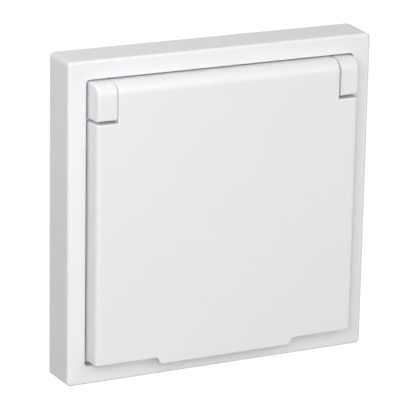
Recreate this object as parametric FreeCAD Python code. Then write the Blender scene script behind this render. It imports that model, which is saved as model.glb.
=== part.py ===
import FreeCAD, Part
import math
import os

# Flush-mounted weatherproof earthed socket with a sprung hinged lid.
# Millimetres. X to the right, Y into the wall, Z up.
# The origin is the centre of the wall plane, where the back of the support ring lies.

Vec = FreeCAD.Vector
X_AXIS = Vec(1, 0, 0)
Y_AXIS = Vec(0, 1, 0)
Z_AXIS = Vec(0, 0, 1)

# Cover frame
frame_size = 81.0
frame_draft = 0.2
frame_border = 4.9
frame_depth = 10.5
frame_corner_r = 1.2
frame_opening_r = 0.9
frame_edge_r = 0.8
frame_lip_edge_r = 0.4
frame_front_wall = 2.0
frame_side_wall = 1.6
frame_lip_wall = 1.3
frame_inner_r = 0.6
frame_rib_wall = 1.2
frame_rib_spacing = 24.0
ledge_height = 5.5
ledge_wall = 1.5
ledge_reach = 2.75

# Wall gasket behind the frame
gasket_wall = 1.5
gasket_width = 3.1
gasket_corner_r = 0.6
gasket_clearance = 0.1
gasket_ring_clearance = 0.2

# Seal between the frame's ledge and the centre plate
plate_seal_wall = 1.3
plate_seal_width = 2.0
plate_seal_clearance = 0.3
plate_seal_corner_r = 1.0

# Centre plate with the plug well
flange_wall = 2.2
flange_corner_r = 1.0
opening_gap = 0.5
collar_height = 2.0
collar_r = 23.2
well_r = 19.5
well_wall = 1.8
well_depth = 17.5
floor_wall = 2.0
guide_width = 4.6
guide_height = 2.1
guide_start = 2.5
pin_spacing = 19.0
pin_r = 2.4
pin_hole_clearance = 0.35
boss_r = 4.6
boss_depth = 4.0
boss_clearance = 0.2
screw_head_drop = 0.2
gusset_wall = 1.2
gusset_reach = 9.0
gusset_depth = 4.6
gusset_count = 8

# Hinged lid
lid_proud = 4.7
lid_wall = 2.0
lid_side_wall = 1.8
lid_draft = 0.025
lid_edge_r = 1.2
lid_bottom_edge_r = 0.5
lid_notch_edge_r = 0.4
lid_top_gap = 0.3
lid_bottom_gap = 1.25
lid_skirt_wall = 1.0
lid_inset = 0.5
hinge_r = 2.9
ear_width = 5.3
ear_height = 8.85
ear_edge_r = 0.6
ear_gap = 0.3
ear_under_gap = 0.75
ear_lean = 0.35
knuckle_length = 6.0
hinge_pin_r = 1.0
hinge_pin_cover = 1.8
hinge_pin_chamfer = 0.2
hinge_fit = 0.05
barrel_clearance = 0.9
trough_clearance = 0.3
stop_width = 7.0
stop_place = 18.5
stop_rise = 1.8
stop_angle = 112.0
stop_wall = 1.4
tab_half_width = 19.1
tab_slope = 2.2
tab_drop = 1.75
tab_depth = 2.7

# Ring seal inside the lid
lid_seal_r = 20.8
lid_seal_width = 1.8
lid_seal_clearance = 0.1
lid_seal_edge_r = 0.4
seat_rib_wall = 0.6
seat_rib_height = 0.9

# Closing spring of the lid
spring_wire_r = 0.25
spring_turns = 6
spring_turn_gap = 0.05
spring_pin_clearance = 0.15
spring_collar_clearance = 1.0
hook_wall = 0.8
hook_clearance = 0.1

# Support ring
ring_wall = 1.0
ring_corner_cut = 11.0
ring_well_clearance = 0.4
ring_bow_clearance = 0.3
wall_screw_spacing = 60.0
wall_screw_r = 1.7
wall_slot_length = 5.0
rivet_place = 17.6
rivet_r = 1.2
rivet_head_r = 2.2
rivet_head_height = 0.8
rivet_edge_r = 0.4
rivet_length = 6.0

# Socket base and its rear cover
base_width = 39.0
base_height = 42.0
base_chamfer = 4.0
base_depth = 19.0
post_r = 3.0
post_length = 14.0
base_floor_wall = 1.0
cover_wall = 2.5
clip_place = 10.0
clip_width = 4.0
clip_wall = 1.2
clip_length = 4.5
clip_hook = 0.8
clip_lead = 0.6
clip_clearance = 0.1

# Pin contacts, terminals and earth bow
contact_wall = 0.7
contact_length = 12.0
contact_front_clearance = 0.5
contact_slit = 1.0
contact_slit_end = 1.5
contact_mouth = 1.2
contact_mouth_rim = 0.1
chamber_clearance = 0.65
sheet_wall = 0.8
sheet_bend_r = 0.9
bar_width = 5.8
bar_clearance = 0.5
terminal_height = 9.2
terminal_overlap = 1.0
tongue_length = 6.0
clamp_wall = 0.5
clamp_width = 5.0
clamp_bend_r = 0.6
clamp_front_clearance = 0.4
clamp_back_clearance = 0.7
clamp_tip_place = 2.0
wire_r = 1.5
wire_spacing = 3.2
wire_funnel = 0.5
wire_drop = 2.3
bow_width = 6.0
bow_clearance = 0.1
bow_arm_clearance = 0.7
bow_slot_clearance = 0.5
bow_nose_reach = 1.5
bow_nose_depth = 8.0
bow_nose_length = 6.0
tail_width = 4.8
tail_clearance = 0.1

# Release levers
lever_width = 4.0
lever_height = 2.2
lever_out = 1.5
lever_shoulder = 0.6
lever_shoulder_wall = 1.0
lever_edge_r = 0.4
lever_clearance = 0.1
lever_rest_gap = 0.02
lever_drop = 5.5
lever_reach = 1.4

# Centre screw and its threaded bush
screw_r = 1.5
screw_head_r = 2.9
screw_head_height = 1.8
screw_edge_r = 0.5
screw_tip_chamfer = 0.3
screw_hole_clearance = 0.2
screw_length = 13.0
bush_wall = 1.1
bush_length = 7.0
driver_slot = 0.8

# Spreading claws on their screws
claw_offset = 4.3
claw_well_clearance = 0.6
claw_z = 6.0
claw_slope = 0.45
claw_screw_length = 25.0
claw_head_r = 2.7
claw_head_height = 1.8
claw_head_gap = 0.02
rail_gap = 3.0
rail_wall = 1.6
rail_start = 10.0
rail_end = 24.0
rail_back = 3.6
rail_weld = 0.5
claw_wall = 1.2
claw_half_width = 5.2
claw_foot = 20.0
claw_length = 9.0
claw_fork = 1.75
claw_fork_rim = 0.6
claw_fork_clearance = 0.4
claw_fork_side_gap = 0.15
claw_way = 6.4
claw_gap = 0.05
claw_tooth = 1.3
claw_tooth_root = 0.9
claw_tooth_count = 4
nut_size = 5.4
nut_wall = 2.4
nut_gap = 0.02
thread_clearance = 0.03

# How far a body sinks into the one it joins, and how far a cut passes a surface
weld = 0.2
past = 1.0
same_place = 0.01

# Levels along Y, all from the values above
y_front = -frame_depth
y_ledge = -ledge_height
y_flange_back = y_ledge - plate_seal_wall
y_flange = y_flange_back - flange_wall
y_mouth = y_flange - collar_height
y_floor = y_mouth + well_depth
y_seat = y_floor + floor_wall
y_strap = y_floor + boss_depth
y_base_back = y_seat + base_depth
y_back = y_base_back + cover_wall
y_lid = y_front - lid_proud
y_lid_inner = y_lid + lid_wall
y_lid_rear = y_flange - lid_inset

half_frame = frame_size / 2
half_opening = half_frame - frame_border
half_plate = half_opening - opening_gap
half_channel = half_frame - frame_side_wall - frame_draft
gasket_half = half_channel - gasket_clearance
ring_half = gasket_half - gasket_width - gasket_ring_clearance
ear_inner = half_plate - ear_width
hinge_y = y_lid + hinge_r
lid_top = half_opening - lid_top_gap
lid_notch_low = lid_top - ear_height - ear_under_gap
hinge_z = lid_top - hinge_r
knuckle_r = hinge_r - lid_notch_edge_r
spring_leg = hinge_z - collar_r - spring_collar_clearance
lid_bottom = -(half_opening - lid_bottom_gap)
pin_x = pin_spacing / 2
pin_hole_r = pin_r + pin_hole_clearance
chamber_r = pin_r + contact_wall + chamber_clearance
terminal_low = base_floor_wall - base_height / 2
terminal_drop = -(terminal_low + terminal_height)
y_contact_back = y_seat + contact_front_clearance + contact_length
well_side = well_r + well_wall + screw_r + claw_well_clearance
claw_x = max(base_width / 2 + claw_offset, math.sqrt(well_side ** 2 - claw_z ** 2))
pole_places = (-pin_x, 0.0, pin_x)
all_places = (("left", -1), ("right", 1))


def box(x0, x1, y0, y1, z0, z1):
    return Part.makeBox(x1 - x0, y1 - y0, z1 - z0, Vec(x0, y0, z0))


def rod_y(r, y0, y1, x=0.0, z=0.0):
    return Part.makeCylinder(r, y1 - y0, Vec(x, y0, z), Y_AXIS)


def rod_x(r, x0, x1, y, z):
    return Part.makeCylinder(r, x1 - x0, Vec(x0, y, z), X_AXIS)


def tube_y(r_out, r_in, y0, y1, x=0.0, z=0.0):
    return rod_y(r_out, y0, y1, x, z).cut(rod_y(r_in, y0, y1, x, z))


def prism(points, push):
    wire = Part.makePolygon(points + points[:1])
    return Part.Face(wire).extrude(push)


def rounded_block(half_x, half_z, r, y0, y1):
    """A rectangle round the Y axis with rounded corners, from y0 to y1."""
    block = box(-half_x, half_x, y0, y1, -half_z, half_z)
    return block.makeFillet(r, edges_along(block, Y_AXIS))


def drafted_block(half, draft, r, y0, y1):
    """A square block with rounded corners, narrower at y0 by the draft on each side."""
    points = [
        Vec(draft - half, y0, -half),
        Vec(half - draft, y0, -half),
        Vec(half, y1, -half),
        Vec(-half, y1, -half),
    ]
    upright = prism(points, Vec(0, 0, 2 * half))
    lying = upright.copy()
    lying.rotate(Vec(0, 0, 0), Y_AXIS, 90)
    block = upright.common(lying)
    corners = [edge for edge in block.Edges if abs(edge.BoundBox.YLength - (y1 - y0)) < same_place]
    return block.makeFillet(r, corners)


def rounded_ring(half_out, half_in, r_out, r_in, y0, y1):
    outer = rounded_block(half_out, half_out, r_out, y0, y1)
    return outer.cut(rounded_block(half_in, half_in, r_in, y0, y1))


def edges_along(shape, axis):
    found = []
    for edge in shape.Edges:
        if edge.Curve.TypeId != "Part::GeomLine":
            continue
        if abs(abs(edge.tangentAt(edge.FirstParameter).dot(axis)) - 1) < 1e-6:
            found.append(edge)
    return found


def edges_in_plane(shape, y, reach):
    """Edges that lie at this depth and within this reach of the Y axis, along X and Z."""
    found = []
    for edge in shape.Edges:
        size = edge.BoundBox
        if abs(size.YMin - y) > 1e-4 or abs(size.YMax - y) > 1e-4:
            continue
        if max(abs(size.XMin), abs(size.XMax), abs(size.ZMin), abs(size.ZMax)) > reach:
            continue
        found.append(edge)
    return found


def one_side(shape, side):
    """The right-hand shape, or its copy turned half a turn round Y for the left."""
    if side > 0:
        return shape
    turned = shape.copy()
    turned.rotate(Vec(0, 0, 0), Y_AXIS, 180)
    return turned


def bent_path(corners, bend_r):
    """Straight runs in a YZ plane joined by tangent arcs of one radius."""
    edges = []
    start = corners[0]
    for before, corner, after in zip(corners, corners[1:], corners[2:]):
        back = (before - corner).normalize()
        ahead = (after - corner).normalize()
        half = back.getAngle(ahead) / 2
        reach = bend_r / math.tan(half)
        middle = (back + ahead).normalize()
        centre = corner + middle * (bend_r / math.sin(half))
        arc_in = corner + back * reach
        arc_out = corner + ahead * reach
        edges.append(Part.LineSegment(start, arc_in).toShape())
        edges.append(Part.Arc(arc_in, centre - middle * bend_r, arc_out).toShape())
        start = arc_out
    edges.append(Part.LineSegment(start, corners[-1]).toShape())
    return Part.Wire(edges)


def sheet_strip(corners, x_middle, width, wall, bend_r):
    """Sheet metal of one thickness bent along corners given as (y, z) of its middle."""
    points = [Vec(x_middle, y, z) for y, z in corners]
    along = (points[1] - points[0]).normalize()
    side = along.cross(X_AXIS) * (wall / 2)
    across = X_AXIS * (width / 2)
    start = points[0]
    section = Part.makePolygon([
        start - across - side,
        start + across - side,
        start + across + side,
        start - across + side,
        start - across - side,
    ])
    return bent_path(points, bend_r).makePipeShell([section], True, False)


def cover_frame():
    shell = drafted_block(half_frame, frame_draft, frame_corner_r, y_front, 0)
    shell = shell.makeFillet(frame_edge_r, edges_in_plane(shell, y_front, half_frame))
    opening = rounded_block(half_opening, half_opening, frame_opening_r, y_front - past, past)
    shell = shell.cut(opening)
    shell = shell.makeFillet(
        frame_lip_edge_r, edges_in_plane(shell, y_front, half_opening + same_place)
    )
    channel_in = half_opening + frame_lip_wall
    inner_r = frame_opening_r + frame_lip_wall
    y_channel = y_front + frame_front_wall
    channel = rounded_ring(half_channel, channel_in, frame_inner_r, inner_r, y_channel, 0)
    seat = rounded_block(half_channel, half_channel, frame_inner_r, -gasket_wall, past)
    shell = shell.cut([channel, seat])
    ledge_in = half_opening - ledge_reach
    ledge = rounded_ring(
        half_opening + frame_lip_wall / 2, ledge_in, frame_inner_r, frame_inner_r,
        y_ledge, y_ledge + ledge_wall,
    )
    ribs = frame_ribs(channel_in, half_channel, y_channel)
    return shell.fuse([ledge] + ribs).removeSplitter()


def frame_ribs(inner, outer, y_channel):
    ribs = []
    for turn in range(4):
        for step in (-1, 0, 1):
            middle = step * frame_rib_spacing
            rib = box(
                middle - frame_rib_wall / 2,
                middle + frame_rib_wall / 2,
                y_channel,
                -gasket_wall,
                inner,
                outer,
            )
            rib.rotate(Vec(0, 0, 0), Y_AXIS, 90 * turn)
            ribs.append(rib)
    return ribs


def wall_gasket():
    inner = gasket_half - gasket_width
    return rounded_ring(gasket_half, inner, gasket_corner_r, gasket_corner_r, -gasket_wall, 0)


def plate_seal():
    outer = half_opening - plate_seal_clearance
    inner = outer - plate_seal_width
    return rounded_ring(
        outer, inner, plate_seal_corner_r, plate_seal_corner_r, y_flange_back, y_ledge
    )


def cap_profile(y_rear, z_low):
    """Side outline of the lid and the ears: flat front, then an arc round the hinge."""
    arc_mid = math.sqrt(0.5) * hinge_r
    front_low = Vec(0, y_lid, z_low)
    front_high = Vec(0, y_lid, hinge_z)
    arc = Part.Arc(
        front_high,
        Vec(0, hinge_y - arc_mid, hinge_z + arc_mid),
        Vec(0, hinge_y, hinge_z + hinge_r),
    )
    top_rear = Vec(0, y_rear, hinge_z + hinge_r)
    low_rear = Vec(0, y_rear, z_low)
    edges = [
        Part.LineSegment(front_low, front_high).toShape(),
        arc.toShape(),
        Part.LineSegment(Vec(0, hinge_y, hinge_z + hinge_r), top_rear).toShape(),
        Part.LineSegment(top_rear, low_rear).toShape(),
        Part.LineSegment(low_rear, front_low).toShape(),
    ]
    return Part.Wire(edges)


def cap_block(x0, x1, y_rear, z_low):
    outline = cap_profile(y_rear, z_low)
    outline.translate(Vec(x0, 0, 0))
    return Part.Face(outline).extrude(Vec(x1 - x0, 0, 0))


def lid_half_width(y):
    return half_plate + (y - y_front) * lid_draft


def drafted_sides(inset, y0, y1, z0, z1):
    """A block whose two sides lean in towards the lid's front."""
    front = lid_half_width(y0) - inset
    rear = lid_half_width(y1) - inset
    points = [
        Vec(-front, y0, z0),
        Vec(front, y0, z0),
        Vec(rear, y1, z0),
        Vec(-rear, y1, z0),
    ]
    return prism(points, Vec(0, 0, z1 - z0))


def lid_outer():
    wide = half_plate + past
    notch_in = ear_inner - ear_gap
    body = cap_block(-wide, wide, y_lid_rear, lid_bottom)
    body = body.common(drafted_sides(0, y_lid - past, y_lid_rear, lid_bottom, lid_top))
    for side in (-1, 1):
        x0, x1 = sorted((side * notch_in, side * (wide + past)))
        body = body.cut(
            box(x0, x1, y_lid - past, y_lid_rear + past, lid_notch_low, lid_top + past)
        )
    body = body.fuse(lid_tab()).removeSplitter()
    sides = lid_front_edges(body, lid_bottom, lid_notch_low, notch_in + ear_gap)
    body = body.makeFillet(lid_edge_r, sides)
    low = lid_front_edges(body, lid_bottom - tab_drop, lid_bottom, -half_frame)
    body = body.makeFillet(lid_bottom_edge_r, low)
    notches = lid_front_edges(body, lid_notch_low, hinge_z, notch_in)
    return body.makeFillet(lid_notch_edge_r, notches)


def lid_front_edges(body, z0, z1, x_in):
    """Edges of the lid's front face between two levels, beyond x_in on both sides."""
    picked = []
    for edge in edges_in_plane(body, y_lid, half_frame):
        size = edge.BoundBox
        beyond = max(size.XMin, -size.XMax) > x_in - same_place
        if beyond and size.ZMin > z0 - same_place and size.ZMax < z1 + same_place:
            picked.append(edge)
    return picked


def lid_hollow():
    y_end = y_flange
    low = lid_bottom + lid_side_wall
    high = lid_notch_low - lid_side_wall
    wide = drafted_sides(lid_side_wall, y_lid_inner, y_end, low, high)
    narrow_x = ear_inner - ear_gap - lid_side_wall
    narrow = box(-narrow_x, narrow_x, y_lid_inner, y_end, low, hinge_z)
    top_z = hinge_z + hinge_r - lid_skirt_wall
    top = box(-narrow_x, narrow_x, hinge_y, y_end, low, top_z)
    barrel_r = hinge_pin_r + barrel_clearance
    barrel = rod_x(barrel_r, -narrow_x, narrow_x, hinge_y, hinge_z)
    return wide.fuse([narrow, top, barrel])


def tab_outline(y):
    """Finger grip under the lid: its ends run down in an S of two even arcs."""
    low = lid_bottom - tab_drop
    half_drop = tab_drop / 2
    inner = tab_half_width - tab_slope
    middle = tab_half_width - tab_slope / 2
    bend_r = (tab_slope ** 2 + tab_drop ** 2) / (4 * tab_drop)
    half_bend = math.asin(tab_slope / 2 / bend_r) / 2
    in_x = bend_r * math.sin(half_bend)
    in_z = bend_r * (1 - math.cos(half_bend))
    edges = []
    for side in (-1, 1):
        top = Vec(side * tab_half_width, y, lid_bottom)
        half = Vec(side * middle, y, lid_bottom - half_drop)
        foot = Vec(side * inner, y, low)
        upper = Vec(side * (tab_half_width - in_x), y, lid_bottom - in_z)
        lower = Vec(side * (inner + in_x), y, low + in_z)
        edges.append(Part.Arc(top, upper, half).toShape())
        edges.append(Part.Arc(half, lower, foot).toShape())
    edges.append(Part.LineSegment(Vec(-inner, y, low), Vec(inner, y, low)).toShape())
    reach = lid_bottom + lid_side_wall
    corners = [
        Vec(-tab_half_width, y, lid_bottom),
        Vec(-tab_half_width, y, reach),
        Vec(tab_half_width, y, reach),
        Vec(tab_half_width, y, lid_bottom),
    ]
    for start, end in zip(corners, corners[1:]):
        edges.append(Part.LineSegment(start, end).toShape())
    return Part.Wire(Part.__sortEdges__(edges))


def lid_tab():
    return Part.Face(tab_outline(y_lid)).extrude(Vec(0, tab_depth, 0))


def knuckles():
    made = []
    end = ear_inner - ear_gap
    for side in (-1, 1):
        x0, x1 = sorted((side * (end - knuckle_length), side * end))
        made.append(rod_x(knuckle_r, x0, x1, hinge_y, hinge_z))
    return made


def spring_hook():
    """Small lug in the lid that holds the spring's leg."""
    x = spring_coil_half()
    z = hinge_z - spring_leg
    y_lip = hinge_y + spring_wire_r + hook_clearance
    lug = box(
        x - 2 * hook_wall, x + 2 * hook_wall, y_lid_inner - weld, y_lip + hook_wall,
        z - hook_wall, z + hook_wall,
    )
    wide = spring_wire_r + hook_clearance
    way = box(x - wide, x + wide, hinge_y - wide, y_lip, z - 2 * hook_wall, z + 2 * hook_wall)
    return lug.cut(way)


def lid():
    body = lid_outer().cut(lid_hollow())
    seat_back = y_lid_inner + seat_rib_height
    inner_rib = lid_seal_r - lid_seal_clearance
    outer_rib = lid_seal_r + lid_seal_width + lid_seal_clearance
    seats = [
        tube_y(inner_rib, inner_rib - seat_rib_wall, y_lid_inner - weld, seat_back),
        tube_y(outer_rib + seat_rib_wall, outer_rib, y_lid_inner - weld, seat_back),
    ]
    body = body.fuse(knuckles() + seats + [spring_hook()])
    bore = rod_x(hinge_pin_r + hinge_fit, -ear_inner, ear_inner, hinge_y, hinge_z)
    return body.cut(bore).removeSplitter()


def lid_seal():
    outer = lid_seal_r + lid_seal_width
    y_end = y_mouth - lid_seal_clearance
    ring = tube_y(outer, lid_seal_r, y_lid_inner, y_end)
    return ring.makeFillet(lid_seal_edge_r, edges_in_plane(ring, y_end, outer + same_place))


def hinge_pin():
    end = hinge_pin_end()
    pin = rod_x(hinge_pin_r, -end, end, hinge_y, hinge_z)
    ends = [edge for edge in pin.Edges if edge.BoundBox.XLength < same_place]
    return pin.makeChamfer(hinge_pin_chamfer, ends)


def spring_coil_half():
    return spring_turns * (2 * spring_wire_r + spring_turn_gap) / 2


def lid_spring():
    """Torsion spring round the hinge pin, one leg on the lid and one on the plate."""
    coil_r = hinge_pin_r + spring_pin_clearance + spring_wire_r
    half = spring_coil_half()
    helix = Part.makeHelix(2 * half / spring_turns, 2 * half, coil_r)
    helix.rotate(Vec(0, 0, 0), Y_AXIS, 90)
    helix.translate(Vec(-half, hinge_y, hinge_z))
    first = helix.Edges[0]
    start = first.valueAt(first.FirstParameter)
    heading = first.tangentAt(first.FirstParameter)
    section = Part.Wire(Part.makeCircle(spring_wire_r, start, heading))
    coil = Part.Wire(helix).makePipeShell([section], True, True)
    low_z = hinge_z - coil_r
    lid_leg = [Vec(half, hinge_y, low_z), Vec(half, hinge_y, hinge_z - spring_leg - hook_wall)]
    plate_leg = [
        Vec(-half, hinge_y, low_z),
        Vec(-half, hinge_y, hinge_z - spring_leg / 2),
        Vec(-half, y_flange - spring_wire_r, hinge_z - spring_leg),
    ]
    return coil.fuse(wire_run(lid_leg) + wire_run(plate_leg))


def wire_run(points):
    """Round wire along straight runs, with a ball at each start."""
    made = []
    for start, end in zip(points, points[1:]):
        run = end - start
        made.append(Part.makeSphere(spring_wire_r, start))
        made.append(Part.makeCylinder(spring_wire_r, run.Length, start, run))
    return made


def centre_plate():
    body = rounded_block(half_plate, half_plate, flange_corner_r, y_flange, y_flange_back)
    body = body.fuse([
        rod_y(collar_r, y_mouth, y_flange_back),
        rod_y(well_r + well_wall, y_flange, y_seat),
        rod_y(boss_r, y_floor, y_strap),
    ])
    body = body.fuse(plate_gussets() + hinge_ears())
    body = body.cut([hinge_trough(), rod_y(well_r, y_mouth - past, y_floor)])
    body = body.fuse(plug_guides() + hinge_stops())
    cuts = [
        rod_y(pin_hole_r, y_floor - past, y_seat + past, side * pin_x)
        for side in (-1, 1)
    ]
    cuts.append(rod_y(screw_r + screw_hole_clearance, y_floor - past, y_strap + past))
    cuts.append(rod_y(screw_head_r + screw_hole_clearance, y_floor - past, screw_seat()))
    cuts += bow_slots()
    cuts.append(pin_bore())
    return body.cut(cuts).removeSplitter()


def screw_seat():
    return y_floor + screw_head_drop + screw_head_height


def pin_bore():
    end = hinge_pin_end()
    return rod_x(hinge_pin_r, -end, end, hinge_y, hinge_z)


def hinge_pin_end():
    return half_plate - hinge_pin_cover


def hinge_ears():
    """Fixed ears either side of the lid, with the lid's own side outline."""
    z_low = lid_top - ear_height
    made = []
    for side in (-1, 1):
        x0, x1 = sorted((side * ear_inner, side * half_plate))
        ear = cap_block(x0, x1, y_flange_back, z_low)
        points = [
            Vec(side * (ear_inner - past), y_lid - past, z_low),
            Vec(side * (half_plate - ear_lean), y_lid, z_low),
            Vec(side * half_plate, y_front, z_low),
            Vec(side * half_plate, y_flange_back, z_low),
            Vec(side * (ear_inner - past), y_flange_back, z_low),
        ]
        ear = ear.common(prism(points, Vec(0, 0, ear_height)))
        rim = [
            edge
            for edge in edges_in_plane(ear, y_lid, half_frame)
            if is_low(edge, z_low) or is_outer(edge)
        ]
        made.append(ear.makeFillet(ear_edge_r, rim))
    return made


def is_low(edge, z_low):
    return edge.BoundBox.ZMax < z_low + same_place


def is_outer(edge):
    size = edge.BoundBox
    return max(size.XMin, -size.XMax) > ear_inner + same_place


def lid_corner_r():
    """Distance from the hinge to the lid's upper rear edge."""
    return math.hypot(hinge_r, y_lid_rear - hinge_y)


def hinge_trough():
    """Hollow in the flange that the lid's rear edge turns through."""
    swing = lid_corner_r() + trough_clearance
    return rod_x(swing, -ear_inner, ear_inner, hinge_y, hinge_z)


def hinge_stops():
    """Ledges on the flange that the open lid's upper rear edge comes to rest on."""
    made = []
    edge_angle = math.degrees(math.atan2(hinge_r, y_lid_rear - hinge_y))
    z_high = hinge_z - lid_corner_r() * math.sin(math.radians(stop_angle - edge_angle))
    for side in (-1, 1):
        middle = side * stop_place
        made.append(
            box(
                middle - stop_width / 2, middle + stop_width / 2,
                y_flange - stop_rise, y_flange + weld, z_high - stop_wall, z_high,
            )
        )
    return made


def plug_guides():
    """Two ribs that the plug's side grooves slide over."""
    made = []
    for side in (-1, 1):
        x0, x1 = sorted((side * (well_r - guide_height), side * (well_r + well_wall / 2)))
        made.append(
            box(x0, x1, y_mouth + guide_start, y_floor, -guide_width / 2, guide_width / 2)
        )
    return made


def plate_gussets():
    inner = well_r + well_wall / 2
    points = [
        Vec(inner, y_flange_back, 0),
        Vec(inner + gusset_reach, y_flange_back, 0),
        Vec(inner, y_flange_back + gusset_depth, 0),
    ]
    made = []
    for index in range(gusset_count):
        gusset = prism(points, Vec(0, 0, gusset_wall))
        gusset.translate(Vec(0, 0, -gusset_wall / 2))
        gusset.rotate(Vec(0, 0, 0), Y_AXIS, (index + 0.5) * 360 / gusset_count)
        made.append(gusset)
    return made


def bow_slots():
    half = bow_width / 2 + bow_slot_clearance
    y0 = bow_nose_y() - bow_nose_length / 2 - bow_slot_clearance
    y1 = bow_nose_y() + bow_nose_length / 2 + bow_slot_clearance
    reach = well_r + well_wall + past
    inside = well_r - guide_height
    return [
        box(-half, half, y0, y1, inside, reach),
        box(-half, half, y0, y1, -reach, -inside),
    ]


def bow_nose_y():
    return y_mouth + bow_nose_depth


def base_outline(y0, y1):
    block = box(-base_width / 2, base_width / 2, y0, y1, -base_height / 2, base_height / 2)
    return block.makeChamfer(base_chamfer, edges_along(block, Y_AXIS))


def quarter_places():
    return [(x * rivet_place, z * rivet_place) for x in (-1, 1) for z in (-1, 1)]


def socket_base():
    body = base_outline(y_seat, y_base_back)
    posts = [rod_y(post_r, 0, post_length + y_seat, x, z) for x, z in quarter_places()]
    rails = [rail for _, side in all_places for rail in claw_rails(side)]
    body = body.fuse(posts + rails)
    body = body.cut(rod_y(well_r + well_wall, -past, y_seat))
    half_bow = bow_width / 2 + bow_clearance
    strap_back = y_strap + sheet_wall
    cuts = [
        box(-half_bow, half_bow, y_seat - past, strap_back, -base_height, base_height),
        rod_y(boss_r + boss_clearance, y_seat - past, y_strap),
        rod_y(screw_r + bush_wall, strap_back, strap_back + bush_length),
        rod_y(screw_r + screw_hole_clearance, strap_back, screw_end() + past),
        terminal_room(0),
        box(
            -tail_width / 2 - tail_clearance, tail_width / 2 + tail_clearance,
            y_strap, y_base_back + past,
            -terminal_drop - sheet_wall / 2 - tail_clearance,
            -terminal_drop + sheet_wall / 2 + tail_clearance,
        ),
    ]
    for side in (-1, 1):
        x = side * pin_x
        cuts.append(rod_y(chamber_r, y_seat - past, y_base_back + past, x))
        cuts.append(terminal_room(x))
        cuts.append(contact_room(x))
    cuts += [rod_y(rivet_r, -past, rivet_length, x, z) for x, z in quarter_places()]
    cuts += clip_pockets()
    return body.cut(cuts).removeSplitter()


def screw_end():
    return screw_seat() + screw_length


def room_half_width():
    return bar_width / 2 + bar_clearance


def terminal_room(x):
    half = room_half_width()
    top = -terminal_drop + sheet_wall / 2 + terminal_overlap
    return box(x - half, x + half, y_contact_back, y_base_back + past, terminal_low, top)


def contact_room(x):
    half = room_half_width()
    return box(x - half, x + half, y_contact_back, y_base_back + past, -terminal_drop, chamber_r)


def clip_places():
    return [(x * clip_place, side) for x in (-1, 1) for side in (-1, 1)]


def clip_pockets():
    """Pockets in the base's top and bottom that the rear cover's clips hook into."""
    made = []
    for x, side in clip_places():
        z_out = base_height / 2 + past
        z_in = base_height / 2 - clip_hook - clip_clearance
        z0, z1 = sorted((side * z_in, side * z_out))
        half = clip_width / 2 + clip_clearance
        y0 = y_base_back - clip_length - clip_clearance
        y1 = y0 + clip_hook + clip_lead + 2 * clip_clearance
        made.append(box(x - half, x + half, y0, y1, z0, z1))
    return made


def rear_clips():
    made = []
    for x, side in clip_places():
        surface = base_height / 2
        y_hook = y_base_back - clip_length
        points = [
            Vec(x - clip_width / 2, y_back, surface - clip_wall),
            Vec(x - clip_width / 2, y_back, surface + clip_wall),
            Vec(x - clip_width / 2, y_hook, surface + clip_wall),
            Vec(x - clip_width / 2, y_hook, surface),
            Vec(x - clip_width / 2, y_hook + clip_lead, surface - clip_hook),
            Vec(x - clip_width / 2, y_hook + clip_lead + clip_hook, surface - clip_hook),
            Vec(x - clip_width / 2, y_hook + clip_lead + clip_hook, surface),
            Vec(x - clip_width / 2, y_base_back, surface),
            Vec(x - clip_width / 2, y_base_back, surface - clip_wall),
        ]
        clip = prism(points, Vec(clip_width, 0, 0))
        if side < 0:
            clip = clip.mirror(Vec(0, 0, 0), Z_AXIS)
        made.append(clip)
    return made


def base_rear_cover():
    body = base_outline(y_base_back, y_back).fuse(rear_clips())
    cuts = []
    for x in pole_places:
        for side in (-1, 1):
            wire_x = x + side * wire_spacing / 2
            wire_z = -terminal_drop - wire_drop
            cuts.append(rod_y(wire_r, y_base_back - past, y_back + past, wire_x, wire_z))
            cuts.append(
                Part.makeCone(
                    wire_r, wire_r + wire_funnel, wire_funnel,
                    Vec(wire_x, y_back - wire_funnel, wire_z), Y_AXIS,
                )
            )
        half_x = lever_width / 2 + lever_clearance
        half_z = lever_height / 2 + lever_clearance
        z = lever_z()
        cuts.append(
            box(x - half_x, x + half_x, y_base_back - past, y_back + past, z - half_z, z + half_z)
        )
    return body.cut(cuts).removeSplitter()


def lever_z():
    return -terminal_drop - lever_drop


def release_lever(x):
    """Slider that is pressed in from behind to free the wires of one terminal."""
    z = lever_z()
    half_x = lever_width / 2
    half_z = lever_height / 2
    stem = box(
        x - half_x, x + half_x, y_base_back - lever_reach, y_back + lever_out, z - half_z, z + half_z
    )
    rim = [edge for edge in stem.Edges if edge.BoundBox.YMin > y_back + lever_out - same_place]
    stem = stem.makeFillet(lever_edge_r, rim)
    shoulder = box(
        x - half_x - lever_shoulder, x + half_x + lever_shoulder,
        y_base_back - lever_shoulder_wall, y_base_back - lever_rest_gap,
        z - half_z, z + half_z,
    )
    return stem.fuse(shoulder).removeSplitter()


def clamp_spring(x):
    """Steel leaf: a foot on the terminal's floor, a bend, and an arm up to the tongue."""
    z_foot = terminal_low + clamp_wall / 2
    y_rear = y_base_back - clamp_back_clearance
    corners = [
        (y_contact_back + clamp_front_clearance, z_foot),
        (y_rear, z_foot),
        (y_base_back - lever_reach - clamp_wall, lever_z() - lever_height / 2),
        (y_contact_back + clamp_tip_place, -terminal_drop - sheet_wall / 2 - clamp_wall / 2),
    ]
    return sheet_strip(corners, x, clamp_width, clamp_wall, clamp_bend_r)


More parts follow.
